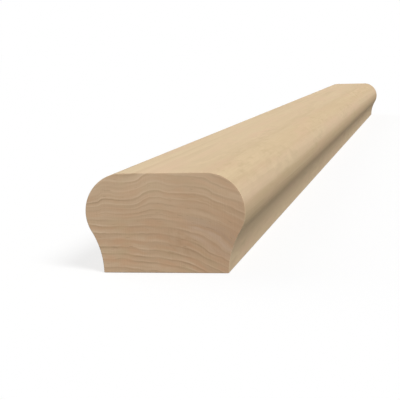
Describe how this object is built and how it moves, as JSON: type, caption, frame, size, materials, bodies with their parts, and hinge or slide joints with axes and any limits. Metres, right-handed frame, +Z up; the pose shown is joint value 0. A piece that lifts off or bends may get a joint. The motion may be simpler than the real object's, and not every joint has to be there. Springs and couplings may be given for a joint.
{
  "type": "handrail",
  "caption": "Straight solid-wood handrail with round shoulders, hollow flanks for the fingertips and a flat underside, sawn square at both ends.",
  "frame": {"origin": "the middle of the flat underside", "axes": "+Y runs along the rail, away from the end that faces the viewer in the picture; +Z points up, out of the gripping top; +X points across the rail"},
  "size_m": [0.0666, 1.2192, 0.0413],
  "materials": {
    "bare_wood": "machined and sanded, no stain or varnish"
  },
  "bodies": {
    "root": {"handrail": "bare_wood"}
  },
  "joints": []
}
